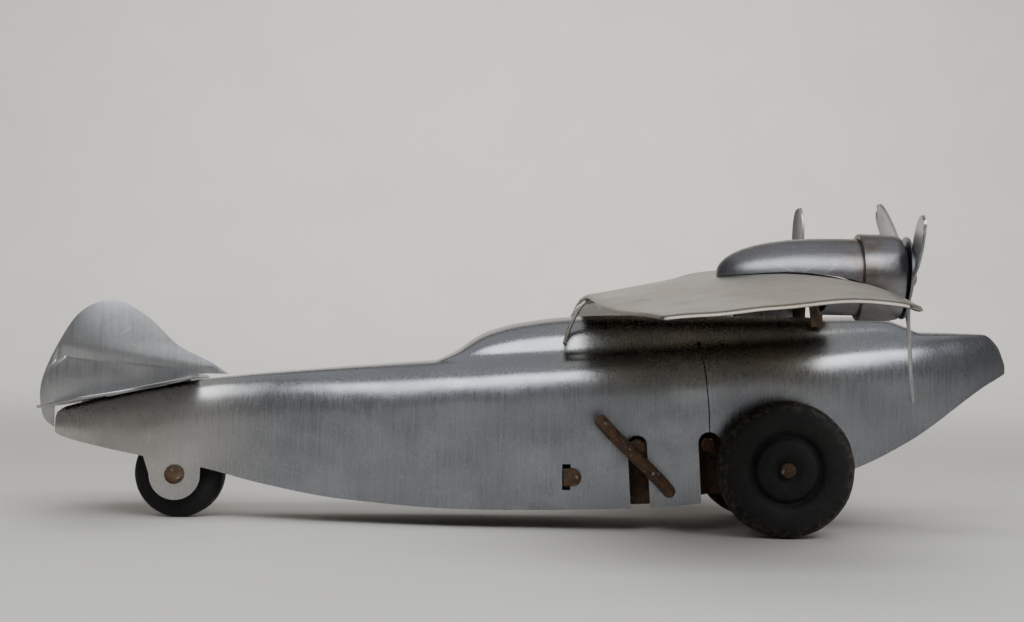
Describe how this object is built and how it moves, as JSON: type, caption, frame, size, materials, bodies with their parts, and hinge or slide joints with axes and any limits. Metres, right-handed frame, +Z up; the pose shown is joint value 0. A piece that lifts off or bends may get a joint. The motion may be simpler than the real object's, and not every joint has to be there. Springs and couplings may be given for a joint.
{
  "type": "toy airplane",
  "caption": "Wind-up pressed-metal toy flying boat on wheels: open-bottomed boat hull, high drooping wing with engine pods and spinning propellers, tail fin, rubber wheels and side winding key.",
  "frame": {"origin": "on the floor, below the centre of the object's bounding box", "axes": "+X to the nose, +Y to port along the wing span, +Z up; wheels touch z = 0"},
  "size_m": [0.32, 0.3402, 0.114],
  "materials": {
    "aluminium_sheet": "worn brushed sheet, scratched, dull bluish grey",
    "rusty_steel": "rusted brown steel",
    "motor_steel": "oily, stained steel",
    "gear_brass": "tarnished brass",
    "wheel_rubber": "aged moulded rubber with brown grime",
    "tail_rubber": "smooth black rubber"
  },
  "bodies": {
    "airframe": {"hull_shell": "aluminium_sheet", "fin": "aluminium_sheet", "tailplane": "aluminium_sheet", "wing": "aluminium_sheet", "wing_bracket_rear_right": "aluminium_sheet", "wing_bracket_rear_left": "aluminium_sheet", "wing_bracket_front_right": "aluminium_sheet", "wing_bracket_front_left": "aluminium_sheet", "engine_pod_right": "aluminium_sheet", "cowl_ring_right": "aluminium_sheet", "bulkhead_right": "aluminium_sheet", "propeller_pin_right": "motor_steel", "engine_pod_left": "aluminium_sheet", "cowl_ring_left": "aluminium_sheet", "bulkhead_left": "aluminium_sheet", "propeller_pin_left": "motor_steel", "tail_axle": "rusty_steel", "motor_plate_right": "rusty_steel", "motor_plate_left": "rusty_steel", "pillar_1": "motor_steel", "pillar_2": "motor_steel", "pillar_3": "motor_steel", "pillar_4": "motor_steel", "motor_strap": "motor_steel", "mainspring": "motor_steel"},
    "main_axle": {"main_axle": "rusty_steel", "main_wheel_right": "wheel_rubber", "main_wheel_left": "wheel_rubber", "axle_pinion": "motor_steel"},
    "second_arbor": {"second_arbor": "motor_steel", "second_pinion": "motor_steel", "second_wheel": "gear_brass"},
    "great_wheel": {"great_wheel": "gear_brass", "click_pin": "motor_steel", "click_spring": "motor_steel"},
    "winding_arbor": {"winding_arbor": "rusty_steel", "winding_key": "rusty_steel", "ratchet_wheel": "motor_steel"},
    "click": {"click": "motor_steel"},
    "tail_wheel": {"tail_wheel": "tail_rubber"},
    "propeller_right": {"propeller_right": "aluminium_sheet"},
    "propeller_left": {"propeller_left": "aluminium_sheet"}
  },
  "joints": [
    {"name": "main_axle_spin", "type": "hinge", "parent": "airframe", "child": "main_axle", "pos_m": [0.0826, 0, 0.02145], "axis": [0, 1, 0], "continuous": true},
    {"name": "second_arbor_spin", "type": "hinge", "parent": "airframe", "child": "second_arbor", "pos_m": [0.0595, 0, 0.0282], "axis": [0, 1, 0], "continuous": true},
    {"name": "great_wheel_spin", "type": "hinge", "parent": "airframe", "child": "great_wheel", "pos_m": [0.0365, 0, 0.0272], "axis": [0, 1, 0], "continuous": true},
    {"name": "winding_key_turn", "type": "hinge", "parent": "great_wheel", "child": "winding_arbor", "pos_m": [0.0365, 0, 0.0272], "axis": [0, 1, 0], "continuous": true},
    {"name": "click_lift", "type": "hinge", "parent": "great_wheel", "child": "click", "pos_m": [0.03087, 0, 0.0378], "axis": [0, 1, 0], "range_deg": [0, 12]},
    {"name": "tail_wheel_spin", "type": "hinge", "parent": "airframe", "child": "tail_wheel", "pos_m": [-0.1127, 0, 0.0147], "axis": [0, 1, 0], "continuous": true},
    {"name": "propeller_right_spin", "type": "hinge", "parent": "airframe", "child": "propeller_right", "pos_m": [0.1067, -0.092, 0.079], "axis": [1, 0, 0], "continuous": true},
    {"name": "propeller_left_spin", "type": "hinge", "parent": "airframe", "child": "propeller_left", "pos_m": [0.1067, 0.092, 0.079], "axis": [1, 0, 0], "continuous": true}
  ],
  "couplings": [
    {"joint": "second_arbor_spin", "follows": "main_axle_spin", "ratio": -0.4},
    {"joint": "great_wheel_spin", "follows": "main_axle_spin", "ratio": 0.1}
  ]
}
